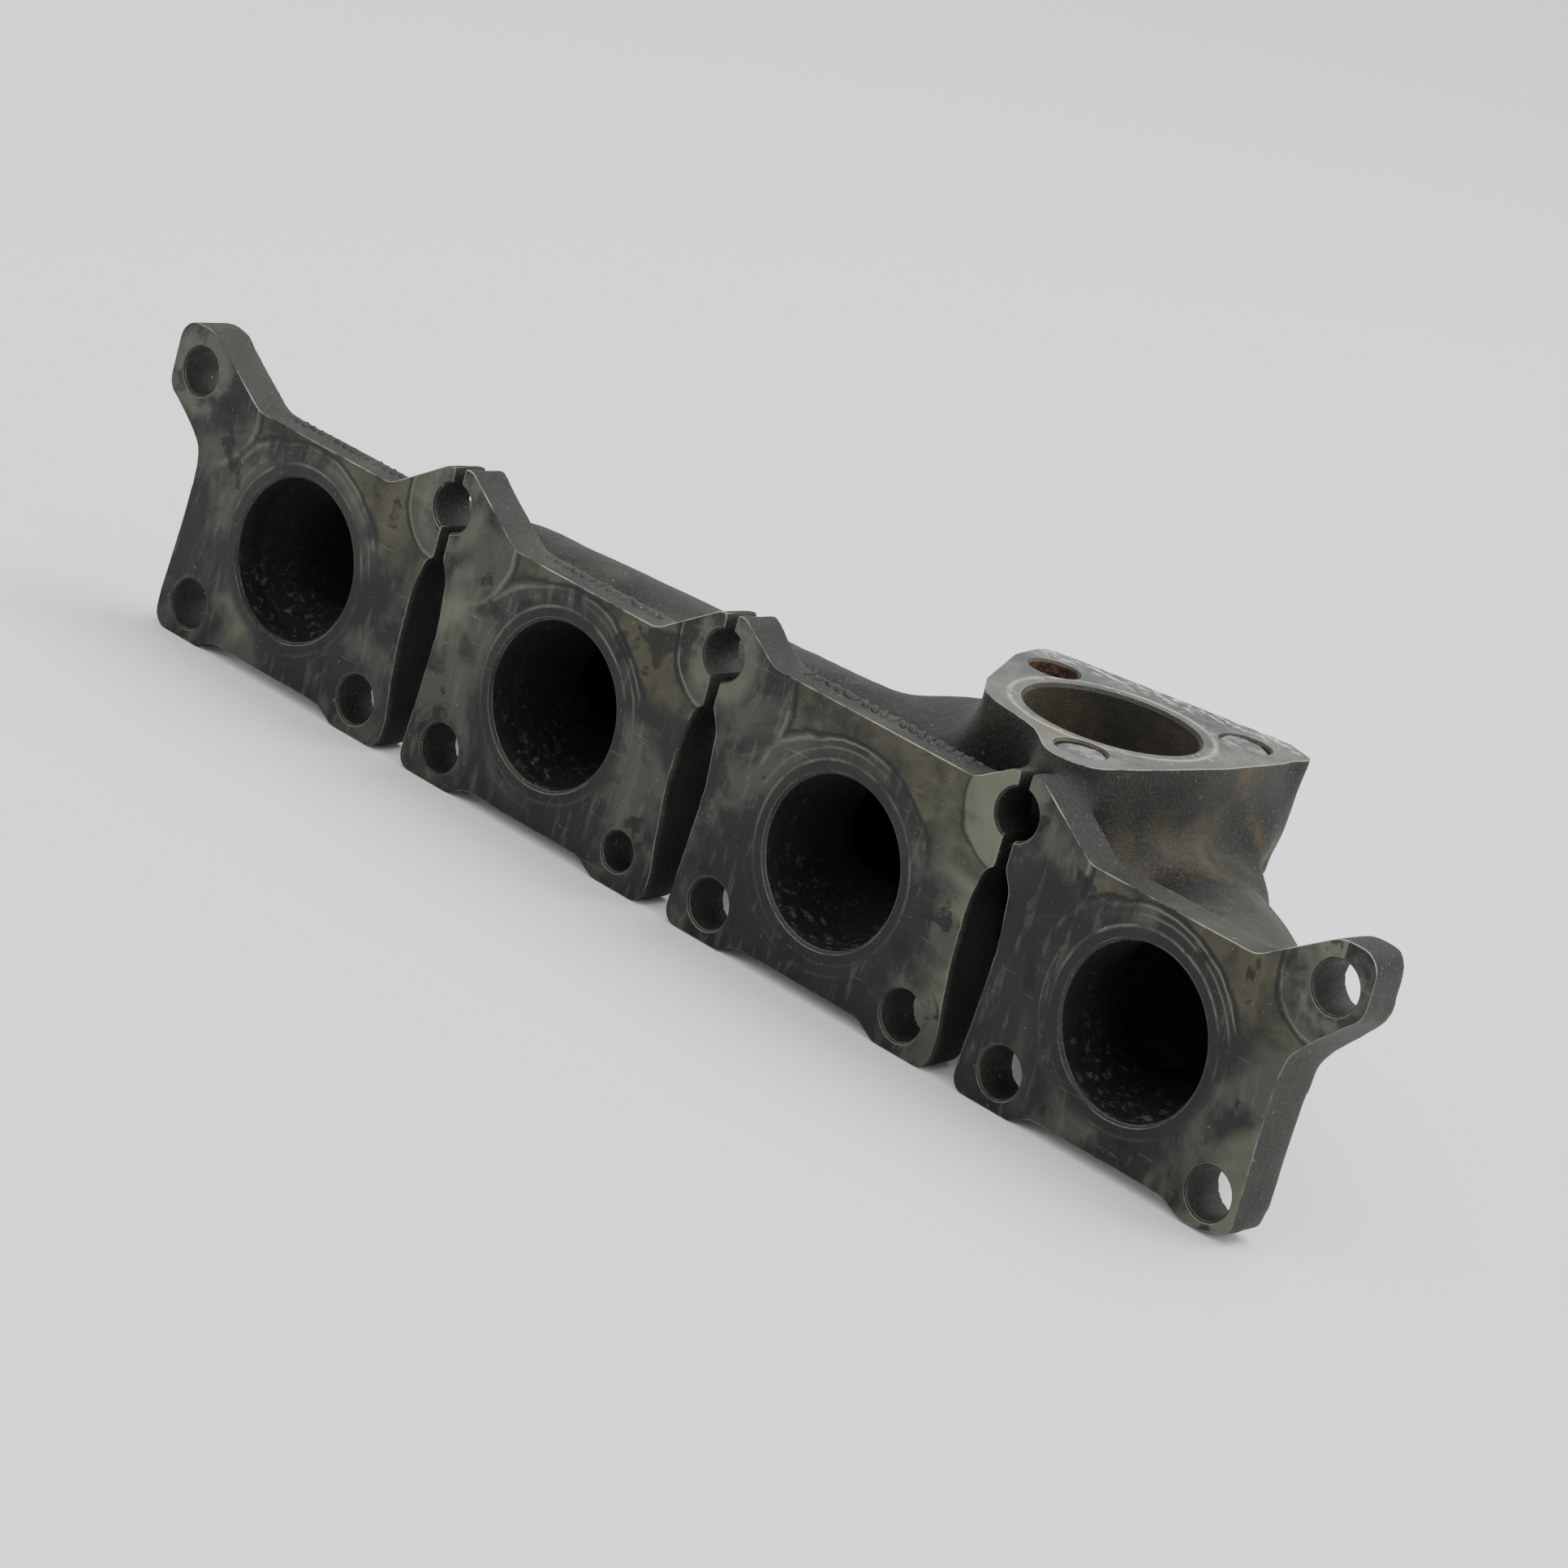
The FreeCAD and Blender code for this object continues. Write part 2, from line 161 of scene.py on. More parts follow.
# ------------------------------------------------------------------ casting
def whole_casting():
    """A merged copy of the machined CAD casting."""
    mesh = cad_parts["manifold_casting"].data.copy()
    bm = bmesh.new()
    bm.from_mesh(mesh)
    bmesh.ops.remove_doubles(bm, verts=bm.verts, dist=2e-7)
    bm.to_mesh(mesh)
    bm.free()
    return mesh


def neighbours(mesh):
    edges = np.empty(len(mesh.edges) * 2, np.int64)
    mesh.edges.foreach_get("vertices", edges)
    one, two = edges.reshape(-1, 2).T
    count = len(mesh.vertices)
    linked = np.bincount(one, minlength=count) + np.bincount(two, minlength=count)
    return one, two, np.maximum(linked, 1)[:, None]


def average(values, one, two, linked):
    total = np.zeros_like(values)
    for axis in range(3):
        total[:, axis] = (np.bincount(one, values[two, axis], len(values))
                          + np.bincount(two, values[one, axis], len(values)))
    return total / linked


def voxel_skin(mesh):
    """An even mesh of the casting, its machined faces drawn out so that cutting leaves them crisp."""
    points = coordinates(mesh)
    points[points[:, 2] > OUTLET.z - 0.0002, 2] += DRAWN_OUT
    points[points[:, 1] < 0.0002, 1] -= DRAWN_OUT
    mesh.vertices.foreach_set("co", points.ravel())
    skin = keep("skin", mesh)
    remesh = skin.modifiers.new("grid", "REMESH")
    remesh.mode = "VOXEL"
    remesh.voxel_size = VOXEL
    return finished(skin, "skin")


def drilled(away):
    """1 on the wall and rim of a stud hole, from the distance to its axis."""
    return 1 - ramp(away, EAR_R + 0.0007, EAR_R + 0.0018)


def free_skin(points):
    """1 on the cast skin, which smoothing may move, and 0 on what was machined."""
    x, y, z = points.T
    outlet_front = ramp(z, OUTLET.z - 0.0070, OUTLET.z - 0.0010)
    in_hole = np.zeros(len(points))
    for ear in EARS:
        in_hole = np.maximum(in_hole, drilled(np.hypot(x - ear, z)))
    for port in PORTS:
        for side in (-1, 1):
            in_hole = np.maximum(in_hole, drilled(np.hypot(x - port - side * FOOT_X, z - FOOT_Z)))
    in_hole *= 1 - ramp(y, PLATE + 0.001, PLATE + 0.004)
    return ramp(y, 0.0030, 0.0062) * (1 - outlet_front) * (1 - in_hole)


def corner_wear(points, fill):
    """How fast outer corners wear: slowly on the plates and at the boss's sharp corner."""
    x, y, z = points.T
    wear = fill * np.where(y < PLATE + 0.002, 0.16, 0.55)
    boss_corner = np.hypot(x - OUTLET.x - 0.0270, y - OUTLET.y - 0.0360)
    return wear * (1 - 0.8 * (1 - ramp(boss_corner, 0.004, 0.012)))


def local_shapes(points):
    """Moves the skin by a millimetre or two in a few places; returns 1 along the parting ridge."""
    x, y, z = points.T       # views, so they follow the points

    # The log's top dips to the left of the neck.
    dip = (1 - ramp(np.abs(x - 0.0385), 0.0, 0.0150)) * ramp(z, -0.0125, -0.0065)
    dip = dip * (1 - ramp(z, -0.002, 0.004))
    points[:, 2] -= 0.0019 * dip * ramp(y, 0.016, 0.022)

    # The boss's lower corner is tucked in, and the bend beside it is fuller.
    tucked = band(x, 0.088, 0.094, 0.1012, 0.1024) * ramp(y, 0.060, 0.068)
    tucked *= band(z, -0.0180, -0.0166, -0.0150, -0.0030)
    swell = band(x, 0.1012, 0.1040, 0.1120, 0.1270) * ramp(y, 0.034, 0.060)
    swell *= band(z, -0.046, -0.024, -0.0125, -0.0090)
    points[:, 0] += 0.0019 * (swell - tucked)
    points[:, 1] += 0.0015 * swell

    # The neck's wall is hollowed in front of the ridge, outside the bore.
    ridge_y = RIDGE_TOP.y + np.clip(RIDGE_TOP.z - z, 0, RIDGE_DROP) * RIDGE_LEAN
    hollowed = ramp(ridge_y - y, 0.0, 0.0035) * ramp(y, 0.016, 0.030) * ramp(x, 0.084, 0.090)
    hollowed *= band(z, -0.019, -0.008, 0.001, 0.0080)
    hollowed *= ramp(np.hypot(x - OUTLET.x, y - OUTLET.y), 0.0205, 0.0225)
    points[:, 0] -= 0.0026 * hollowed
    near_ridge = 1 - ramp(np.abs(y - ridge_y), 0.0015, 0.0050)
    near_ridge = near_ridge * ramp(x, 0.086, 0.090) * ramp(z, -0.026, -0.018)

    # The lower flanks of neighbouring plates come close behind each gap.
    for port in PORTS[:3]:
        flank = band(x - port, 0.0345, 0.0365, 0.0425, 0.0435)
        low_half = band(z, -0.055, -0.047, -0.026, -0.020)
        depth = 0.0018 * flank * low_half * ramp(y, 0.002, 0.0115)
        points[:, 0] += depth * (1 - ramp(y, 0.0125, 0.0150))
    return near_ridge


def soft_normals(mesh, links):
    normals = np.empty(len(mesh.vertices) * 3, np.float32)
    mesh.vertices.foreach_get("normal", normals)
    normals = normals.reshape(-1, 3)
    for _ in range(3):
        normals = average(normals, *links)
    return normals / (np.linalg.norm(normals, axis=1)[:, None] + 1e-9)


def fillet(mesh, points, fill, wear):
    """Fills inner corners and wears outer ones; returns the normals it last went by."""
    links = neighbours(mesh)
    for turn in range(SMOOTHING_TURNS):
        if turn % 10 == 0:
            mesh.vertices.foreach_set("co", points.astype(np.float32).ravel())
            mesh.update()
            normals = soft_normals(mesh, links)
        step = average(points, *links) - points
        outward = np.einsum("ij,ij->i", step, normals)
        share = np.where(outward > 0, fill, wear)
        points += step * (share * 0.6)[:, None]
    return normals


def cast_skin(mesh):
    """The casting with a sand casting's soft fillets and slight waviness, before machining."""
    skin = voxel_skin(mesh)
    mesh = skin.data
    points = coordinates(mesh).astype(np.float64)
    fill = free_skin(points)
    wear = corner_wear(points, fill)
    wear *= 1 - 0.85 * local_shapes(points)
    normals = fillet(mesh, points, fill, wear)
    wave = np.array([noise.noise(Vector(p) * 85) * 0.6 + noise.noise(Vector(p) * 240) * 0.4
                     for p in points])
    points += normals * (wave * fill * 0.0003)[:, None]
    mesh.vertices.foreach_set("co", points.astype(np.float32).ravel())
    thin = skin.modifiers.new("thin", "DECIMATE")
    thin.ratio = KEPT_SHARE
    return finished(skin, "skin")


def stud_hole(bm, x, z, radius, depth):
    """A hole drilled into the head face, with a chamfered mouth."""
    turned_cutter(bm, (x, 0, z), (0, 1, 0),
                  [(-0.001, radius + 0.0016), (0.0005, radius + 0.0002), (depth, radius + 0.00015)],
                  64)


def machining():
    """Every machined hole with its chamfered mouth, as one cutter."""
    bm = bmesh.new()
    for port in PORTS:
        turned_cutter(bm, (port, 0, PORT_Z), (0, 1, 0),
                      [(-0.001, PORT_R + 0.0019), (0.0007, PORT_R + 0.0002), (0.0074, PORT_R + 0.0001)],
                      128)
        for side in (-1, 1):
            radius = LOCATING_R if side > 0 and port == PORTS[1] else EAR_R
            stud_hole(bm, port + side * FOOT_X, FOOT_Z, radius, 0.0135)
    for ear in EARS:
        stud_hole(bm, ear, 0, EAR_R, 0.0116)
    turned_cutter(bm, (OUTLET.x, OUTLET.y, OUTLET.z), (0, 0, 1),
                  [(-0.020, OUTLET_R + 0.0001), (-0.0008, OUTLET_R + 0.0001), (0.001, OUTLET_R + 0.0019)],
                  160)
    for x, y in STUDS:
        turned_cutter(bm, (OUTLET.x + x, OUTLET.y + y, OUTLET.z), (0, 0, 1),
                      [(-0.0150, STUD_R), (-0.0005, STUD_R), (0.001, STUD_R + 0.0015)], 64)
    mesh = bpy.data.meshes.new("cutter")
    bm.to_mesh(mesh)
    bm.free()
    return keep("cutter", mesh)


def build_casting():
    body = combine(cast_skin(whole_casting()), box_object((-0.3, 0, -0.2), (0.3, 0.2, OUTLET.z)),
                   "INTERSECT", "body")
    body = combine(body, machining(), "DIFFERENCE", "casting")
    mesh = body.data
    bm = bmesh.new()
    bm.from_mesh(mesh)
    bmesh.ops.remove_doubles(bm, verts=bm.verts, dist=MERGED)
    bmesh.ops.dissolve_degenerate(bm, edges=bm.edges, dist=MERGED)
    for face in bm.faces:
        middle = face.calc_center_median()
        face.smooth = middle.y > ON_FACE and middle.z < OUTLET.z - ON_FACE
    bm.to_mesh(mesh)
    bm.free()
    mesh.set_sharp_from_angle(angle=math.radians(32))
    return body


casting = build_casting()


# ------------------------------------------------------------------ sheared studs
def stud_stub(node, seed):
    """A stud torn off in its hole: a rough, slightly domed break with a sheared lip."""
    low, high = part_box(node)
    centre = (low + high) / 2
    radius = (high.x - low.x) / 2 - 0.00012      # a hair's gap to the hole's wall
    bm = bmesh.new()
    rings, sides = 18, 72
    layers = []
    for r in range(rings + 1):
        share = r / rings
        ring = []
        for k in range(sides if r else 1):
            angle = 2 * math.pi * k / sides
            x, y = radius * share * math.cos(angle), radius * share * math.sin(angle)
            grain = Vector((x, y, seed * 0.01))
            z = noise.noise(grain * 500) * 0.00022 + noise.noise(grain * 1600) * 0.00012
            z += 0.0004 * math.sin(angle + seed) * share - 0.0005 * ramp(np.float64(share), 0.86, 1.0)
            ring.append(bm.verts.new((centre.x + x, centre.y + y, min(high.z + z, OUTLET.z - 0.0001))))
        layers.append(ring)
    foot = [bm.verts.new((v.co.x, v.co.y, low.z)) for v in layers[-1]]
    layers.append(foot)
    for k in range(sides):
        bm.faces.new((layers[0][0], layers[1][k], layers[1][(k + 1) % sides]))
    for one, two in zip(layers[1:], layers[2:]):
        for k in range(sides):
            j = (k + 1) % sides
            bm.faces.new((one[k], two[k], two[j], one[j]))
    bm.faces.new(list(reversed(foot)))
    bmesh.ops.recalc_face_normals(bm, faces=bm.faces)
    mesh = bpy.data.meshes.new(node + "_broken")
    bm.to_mesh(mesh)
    bm.free()
    mesh.polygons.foreach_set("use_smooth", [True] * len(mesh.polygons))
    mesh.set_sharp_from_angle(angle=math.radians(40))
    return keep(node + "_broken", mesh)


stubs = {node: stud_stub(node, seed) for node, seed in
         (("sheared_stud_front", 1.7), ("sheared_stud_rear", 4.4))}


# ------------------------------------------------------------------ shader helpers
class Value:
    """A number or colour on its way through a material; arithmetic on it adds Math nodes."""

    def __init__(self, look, socket):
        self.look = look
        self.socket = socket

    def math(self, operation, *others, flip=False):
        values = [self, *others]
        if flip:
            values.reverse()
        return self.look.node("ShaderNodeMath", {"operation": operation}, dict(enumerate(values)))

    def __add__(self, other): return self.math("ADD", other)
    __radd__ = __add__
    def __mul__(self, other): return self.math("MULTIPLY", other)
    def __sub__(self, other): return self.math("SUBTRACT", other)
    def __rsub__(self, other): return self.math("SUBTRACT", other, flip=True)
    def high(self, other): return self.math("MAXIMUM", other)
    def low(self, other): return self.math("MINIMUM", other)
    def size(self): return self.math("ABSOLUTE")

    def rise(self, start, end):
        """0 at start, 1 at end, eased between; start may be the larger of the two."""
        return self.look.node("ShaderNodeMapRange", {"interpolation_type": "SMOOTHSTEP"},
                              {"Value": self, "From Min": start, "From Max": end})

    def near(self, centre, width):
        """1 at centre, falling to 0 at a distance of width."""
        return (self - centre).size().rise(width, 0.0)


class Look:
    """A node material, built from one node method and a few named shortcuts."""

    def __init__(self, name):
        self.material = bpy.data.materials.new(name)
        self.material.use_nodes = True
        self.tree = self.material.node_tree
        self.tree.nodes.clear()
        self.place = self.node("ShaderNodeTexCoord", {}, {}, "Object")
        self.x, self.y, self.z = self.axes(self.place)
        self.facing = self.node("ShaderNodeNewGeometry", {}, {}, "True Normal")
        self.facing_x, self.facing_y, self.facing_z = self.axes(self.facing)

    def node(self, kind, settings, inputs, output=0):
        made = self.tree.nodes.new(kind)
        for name, value in settings.items():
            setattr(made, name, value)
        for name, value in inputs.items():
            if isinstance(value, Value):
                self.tree.links.new(value.socket, made.inputs[name])
            else:
                made.inputs[name].default_value = value
        return Value(self, made.outputs[output])

    def axes(self, vector):
        return [self.node("ShaderNodeSeparateXYZ", {}, {0: vector}, axis) for axis in "XYZ"]

    def grain(self, scale, detail, rough=0.55, stretch=(1, 1, 1), offset=0.0, warp=0.0):
        where = self.node("ShaderNodeMapping", {},
                          {"Vector": self.place, "Scale": stretch,
                           "Location": (offset, offset * 0.7, offset * 1.3)})
        return self.node("ShaderNodeTexNoise", {}, {"Vector": where, "Scale": scale, "Detail": detail,
                                                    "Roughness": rough, "Distortion": warp})

    def mix(self, share, one, two):
        """A colour between two others; share 0 gives the first."""
        one, two = ((*colour, 1) if isinstance(colour, tuple) else colour for colour in (one, two))
        return self.node("ShaderNodeMix", {"data_type": "RGBA"}, {0: share, 6: one, 7: two}, 2)

    def coats(self, colour, *coats):
        """The colour under a row of coats, each given by its share and its tint."""
        for share, tint in coats:
            colour = self.mix(share, colour, tint)
        return colour

    def length(self, across, up):
        return (across * across + up * up).math("SQRT")

    def finish(self, colour, roughness, metallic, height, depth, strength=1.0):
        edge = self.node("ShaderNodeBevel", {"samples": 6}, {"Radius": 0.0003})
        bump = self.node("ShaderNodeBump", {}, {"Height": height, "Distance": depth,
                                                "Strength": strength, "Normal": edge})
        shader = self.node("ShaderNodeBsdfPrincipled", {},
                           {"Base Color": colour, "Specular IOR Level": 0.3, "Roughness": roughness,
                            "Metallic": metallic, "Normal": bump})
        output = self.tree.nodes.new("ShaderNodeOutputMaterial")
        self.tree.links.new(shader.socket, output.inputs["Surface"])
        return self.material


# ------------------------------------------------------------------ materials
def worn_and_highlit_edges(look, radius, low, high):
    """1 on sharp edges and 0 on the flats, then how far the edge looks upwards; it marks pale worn edges that
    are partly a painted highlight.
    """
    bent = look.node("ShaderNodeBevel", {"samples": 8}, {"Radius": radius})
    dot = look.node("ShaderNodeVectorMath", {"operation": "DOT_PRODUCT"},
                    {0: bent, 1: look.facing}, "Value")
    return (1 - dot).rise(low, high), look.node("ShaderNodeSeparateXYZ", {}, {0: bent}, "Z")


class IronLook(Look):
    """The casting's look: a method for the colour of each kind of surface, and their masks."""

    def __init__(self):
        super().__init__("used_cast_iron")
        half = PITCH / 2
        self.across = (self.x - half).math("WRAP", half, -half)       # from the nearest port's axis
        self.above_port = self.z - PORT_Z
        self.port = self.length(self.across, self.above_port)
        self.ear = self.length(self.across.size() - half, self.z)
        self.foot = self.length(self.across.size() - FOOT_X, self.z - FOOT_Z)
        self.bore = self.length(self.x - OUTLET.x, self.y - OUTLET.y)
        self.fine = self.grain(760, 4)
        self.sand = self.grain(1500, 3, 0.65)
        self.blotch = self.grain(38, 5, 0.6, warp=0.4)
        self.cloud = self.grain(17, 4, 0.55, offset=3.0, warp=0.6)
        self.patch = self.grain(75, 5, 0.62, offset=7.0, warp=0.3)
        self.streak = self.grain(30, 4, 0.6, stretch=(14, 1, 3), offset=1.3)
        self.scratch = self.grain(60, 5, 0.7, stretch=(1, 1, 16), offset=5.2)
        self.wander = (self.patch - 0.5) * 0.0045

    def skin(self):
        """Dark olive grey and sandy, with a paler brown line along the parting ridge, and rust tints where
        the gas ran hottest.
        """
        x, y, z = self.x, self.y, self.z
        heat = self.length(x - OUTLET.x - 0.01, y - 0.035).rise(0.070, 0.015) * y.rise(0.012, 0.022)
        ridge_y = (RIDGE_TOP.z - z).high(0.0).low(RIDGE_DROP) * RIDGE_LEAN
        ridge = (y - RIDGE_TOP.y - ridge_y).near(0.0, 0.0045)
        ridge = ridge * x.rise(0.086, 0.091) * z.rise(-0.034, -0.024)
        return self.coats(
            (0.0090, 0.0105, 0.0090),
            (self.cloud.rise(0.35, 0.68), (0.028, 0.030, 0.024)),
            (self.blotch.rise(0.52, 0.68) * 0.6, (0.052, 0.053, 0.042)),
            (self.sand.rise(0.50, 0.70) * 0.45, (0.075, 0.077, 0.062)),
            (heat * self.blotch.rise(0.44, 0.66) * 0.55, (0.084, 0.066, 0.037)),
            (ridge * self.patch.rise(0.35, 0.60) * 0.55, (0.105, 0.074, 0.040)),
            (self.fine.rise(0.66, 0.75) * 0.7, (0.20, 0.20, 0.165)))

    def stained_face(self, face):
        """A gasket's print: a dark line edged with a pale one, and a brown pocket above it."""
        ear_print = self.ear - 0.0140 - self.across.rise(0.010, -0.010) * 0.0075
        port_print = self.port - 0.0272
        apart = port_print - ear_print
        print_edge = port_print.low(ear_print) - (0.0120 - apart.size()).high(0.0) * 0.22
        print_edge = print_edge + self.wander * 0.5
        top_pocket = self.above_port.rise(0.010, 0.014)
        outside = print_edge.rise(0.0000, 0.0010) * top_pocket
        pocket = self.mix(self.patch.rise(0.35, 0.62), (0.012, 0.0125, 0.0095), (0.066, 0.062, 0.038))
        low_line = (self.foot - 0.0105).near(0.0, 0.0007) * self.above_port.rise(-0.012, -0.018)
        pale_line = print_edge.near(-0.0006, 0.0005) * top_pocket * self.blotch.rise(0.42, 0.58)
        return self.coats(
            face,
            (outside * 0.70, pocket),
            (print_edge.near(0.0004, 0.0007) * top_pocket * 0.8, (0.005, 0.0058, 0.005)),
            (pale_line, (0.092, 0.097, 0.072)),
            (low_line * self.patch.rise(0.40, 0.58) * 0.7, (0.007, 0.008, 0.0075)))

    def ringed_face(self, face):
        """Pale ears, and dark and pale rings round the ports, clearest above them."""
        upper = self.above_port.rise(-0.010, 0.014)
        inner_ring = (self.port + self.wander * 0.25).near(0.0224, 0.0006) * self.patch.rise(0.36, 0.62)
        outer_ring = (self.port + self.wander * 0.2).near(0.0249, 0.0005) * self.blotch.rise(0.44, 0.60)
        pale_ear = self.ear.rise(0.0125, 0.0085) * self.patch.rise(0.58, 0.42) * 0.5
        return self.coats(
            face,
            (pale_ear, (0.115, 0.122, 0.092)),
            (self.port.rise(0.0242, 0.0218) * 0.80, (0.0095, 0.011, 0.0108)),
            (inner_ring * (upper * 0.8 + 0.2), (0.090, 0.093, 0.072)),
            (outer_ring * (upper * 0.7 + 0.3), (0.070, 0.073, 0.056)))

    def head_face(self):
        """Machined, stained and scratched; where x > 0, each plate is paler towards its right."""
        shade = self.cloud - self.across * self.x.rise(0.0, 0.09) * 4.2 + 0.015
        face = self.coats(
            (0.0105, 0.0130, 0.0122),
            (self.blotch.rise(0.43, 0.56), (0.043, 0.048, 0.037)),
            (shade.rise(0.46, 0.34) * 0.85, (0.105, 0.113, 0.080)),
            (shade.rise(0.53, 0.62) * 0.85, (0.0065, 0.0085, 0.0090)),
            (self.streak.rise(0.54, 0.68) * 0.28, (0.095, 0.102, 0.078)))
        return self.coats(
            self.ringed_face(self.stained_face(face)),
            (self.scratch.rise(0.62, 0.72) * 0.30, (0.15, 0.155, 0.122)),
            (self.patch.rise(0.60, 0.66) * 0.8, (0.0040, 0.0048, 0.0048)),
            (self.fine.rise(0.66, 0.73) * 0.6, (0.17, 0.17, 0.135)))

    def outlet_face(self):
        """Paler, blue grey, with beige tints and scraped streaks by the far rim."""
        seal_ring = (self.bore + self.wander * 0.3).near(0.0232, 0.0010) * self.patch.rise(0.3, 0.6)
        far_rim = ((self.y - OUTLET.y) + (self.x - OUTLET.x) * -0.31).rise(0.024, 0.034)
        burr = self.grain(230, 4, 0.7, stretch=(1, 2.4, 1), offset=9.0)
        return self.coats(
            (0.055, 0.063, 0.062),
            (self.blotch.rise(0.38, 0.66), (0.155, 0.165, 0.145)),
            (self.patch.rise(0.50, 0.66) * 0.5, (0.150, 0.108, 0.062)),
            (seal_ring, (0.36, 0.35, 0.28)),
            (self.patch.rise(0.44, 0.34) * 0.6, (0.035, 0.041, 0.041)),
            (far_rim * burr.rise(0.50, 0.58) * 0.95, (0.62, 0.62, 0.57)),
            (self.bore.rise(0.030, 0.023) * burr.rise(0.60, 0.66) * 0.8, (0.42, 0.42, 0.37)),
            (self.fine.rise(0.56, 0.70) * 0.35, (0.020, 0.024, 0.024)))

    def soot(self):
        """Black in the ports with pale crust on their floors, brown in the outlet's throat."""
        crust = self.above_port.rise(0.000, -0.018) * self.grain(420, 4, 0.7).rise(0.54, 0.68)
        throat = self.mix(self.blotch.rise(0.4, 0.7), (0.030, 0.026, 0.019), (0.082, 0.068, 0.045))
        in_throat = (self.z - OUTLET.z).rise(-0.030, -0.012) * self.y.rise(0.022, 0.026)
        return self.coats(
            (0.004, 0.0045, 0.005),
            (self.fine.rise(0.55, 0.72), (0.016, 0.018, 0.020)),
            (crust * self.y.rise(0.030, 0.004) * 0.85, (0.095, 0.108, 0.115)),
            (in_throat, throat))

    def hollow(self, on_outlet):
        """1 on the walls that the gas blackened, all of which face inwards."""
        y, z = self.y, self.z
        in_port = self.port.rise(0.01925, 0.0190) * y.rise(0.0003, 0.0006)
        in_port = in_port * (1 - y.rise(0.0076, 0.0090))
        in_bore = self.bore.rise(0.0199, 0.0197) * z.rise(-0.03, -0.02) * (1 - on_outlet)
        log_up, log_back = z - LOG_Z, y - LOG_Y
        log_wall = (log_back * self.facing_y + log_up * self.facing_z).rise(-0.0005, -0.0020)
        in_log = self.length(log_back, log_up).rise(0.0205, 0.0190) * log_wall
        port_wall = (self.across * self.facing_x + self.above_port * self.facing_z).rise(-0.001, -0.003)
        port_wall = port_wall * self.facing_y.rise(0.35, 0.15) * y.rise(0.042, 0.036)
        back_wall = self.facing_y.rise(-0.50, -0.70) * y.rise(0.016, 0.020)
        behind_port = self.port.rise(0.0196, 0.0190) * y.rise(0.0006, 0.0012)
        return (in_port.high(in_bore).high(in_log * (1 - on_outlet))
                .high(behind_port * port_wall.high(back_wall)))

    def open_stud_hole(self):
        """1 in the outlet's one hole without a stud."""
        x, y = STUDS[0]
        away = self.length(self.x - OUTLET.x - x, self.y - OUTLET.y - y)
        return away.rise(0.0064, 0.0057) * self.z.rise(OUTLET.z - 0.02, OUTLET.z - 0.014)

    def gap(self):
        """1 on the flanks of the gaps between neighbouring plates, which are painted near-black as shade
        between the plates.
        """
        flank = self.across.size().rise(0.0350, 0.0375) * self.y.rise(0.0006, 0.0020)
        flank = flank * self.z.rise(-0.009, -0.014)
        return flank * self.x.size().rise(0.150, 0.146) * self.y.rise(0.018, 0.013)


def casting_look():
    look = IronLook()
    y, z, patch, fine = look.y, look.z, look.patch, look.fine
    on_head = look.facing_y.rise(-0.90, -0.98) * y.rise(0.0008, 0.0003)
    on_outlet = look.facing_z.rise(0.90, 0.98) * z.rise(OUTLET.z - 0.0006, OUTLET.z - 0.0002)
    hollow = look.hollow(on_outlet)
    gap = look.gap()
    rust = look.mix(fine.rise(0.4, 0.6), (0.035, 0.018, 0.012), (0.120, 0.064, 0.042))
    # Pale edges, partly wear and partly a painted highlight: strongest on upward-facing edges, where the top
    # light falls, and kept to the head face's front edges and the outlet's top.
    edge, upward = worn_and_highlit_edges(look, 0.0006, 0.02, 0.13)
    edge = edge * (1 - hollow) * (1 - gap) * (upward.rise(0.05, 0.40) * 0.65 + 0.35)
    worn_edge_and_highlight = edge * patch.rise(0.38, 0.58) * y.rise(0.004, 0.001).high(z.rise(0.011, 0.013))
    colour = look.coats(
        look.skin(),
        (on_head, look.head_face()),
        (on_outlet, look.outlet_face()),
        (hollow, look.soot()),
        (look.open_stud_hole() * 0.9, rust),
        # painted shade: the flanks in the gaps between plates go near-black
        (gap * 0.85, (0.0035, 0.0038, 0.0036)),
        # pale worn edges with a painted highlight
        (worn_edge_and_highlight * 0.85, (0.50, 0.50, 0.43)))

    machined = on_head.high(on_outlet)
    roughness = 0.62 - machined * 0.14 + (look.blotch - 0.5) * 0.25 + hollow * 0.22
    roughness = roughness + (fine - 0.5) * 0.12
    metallic = machined * 0.3 + worn_edge_and_highlight * 0.4
    height = look.sand * (1 - machined * 0.85) * 0.6 + fine * (0.35 - machined * 0.2)
    height = height + look.scratch * machined * 0.10 + patch * 0.25
    return look.finish(colour, roughness, metallic, height, 0.00055, strength=0.9)


def stud_look():
    look = Look("sheared_steel")
    patch = look.grain(240, 4)
    fine = look.grain(1500, 4, 0.7)
    rub = look.grain(120, 3, 0.6, stretch=(1, 9, 1), offset=2.0)
    colour = look.mix(patch.rise(0.4, 0.62), (0.080, 0.084, 0.082), (0.200, 0.200, 0.182))
    colour = look.mix(rub.rise(0.55, 0.68), colour, (0.42, 0.42, 0.39))
    colour = look.mix(fine.rise(0.62, 0.72) * 0.6, colour, (0.020, 0.018, 0.016))
    roughness = 0.38 + patch * 0.3
    return look.finish(colour, roughness, rub.rise(0.4, 0.7) * 0.7, fine + rub * 0.6, 0.0002)


iron = casting_look()
steel = stud_look()
casting.data.materials.clear()
casting.data.materials.append(iron)
for stub in stubs.values():
    stub.data.materials.append(steel)


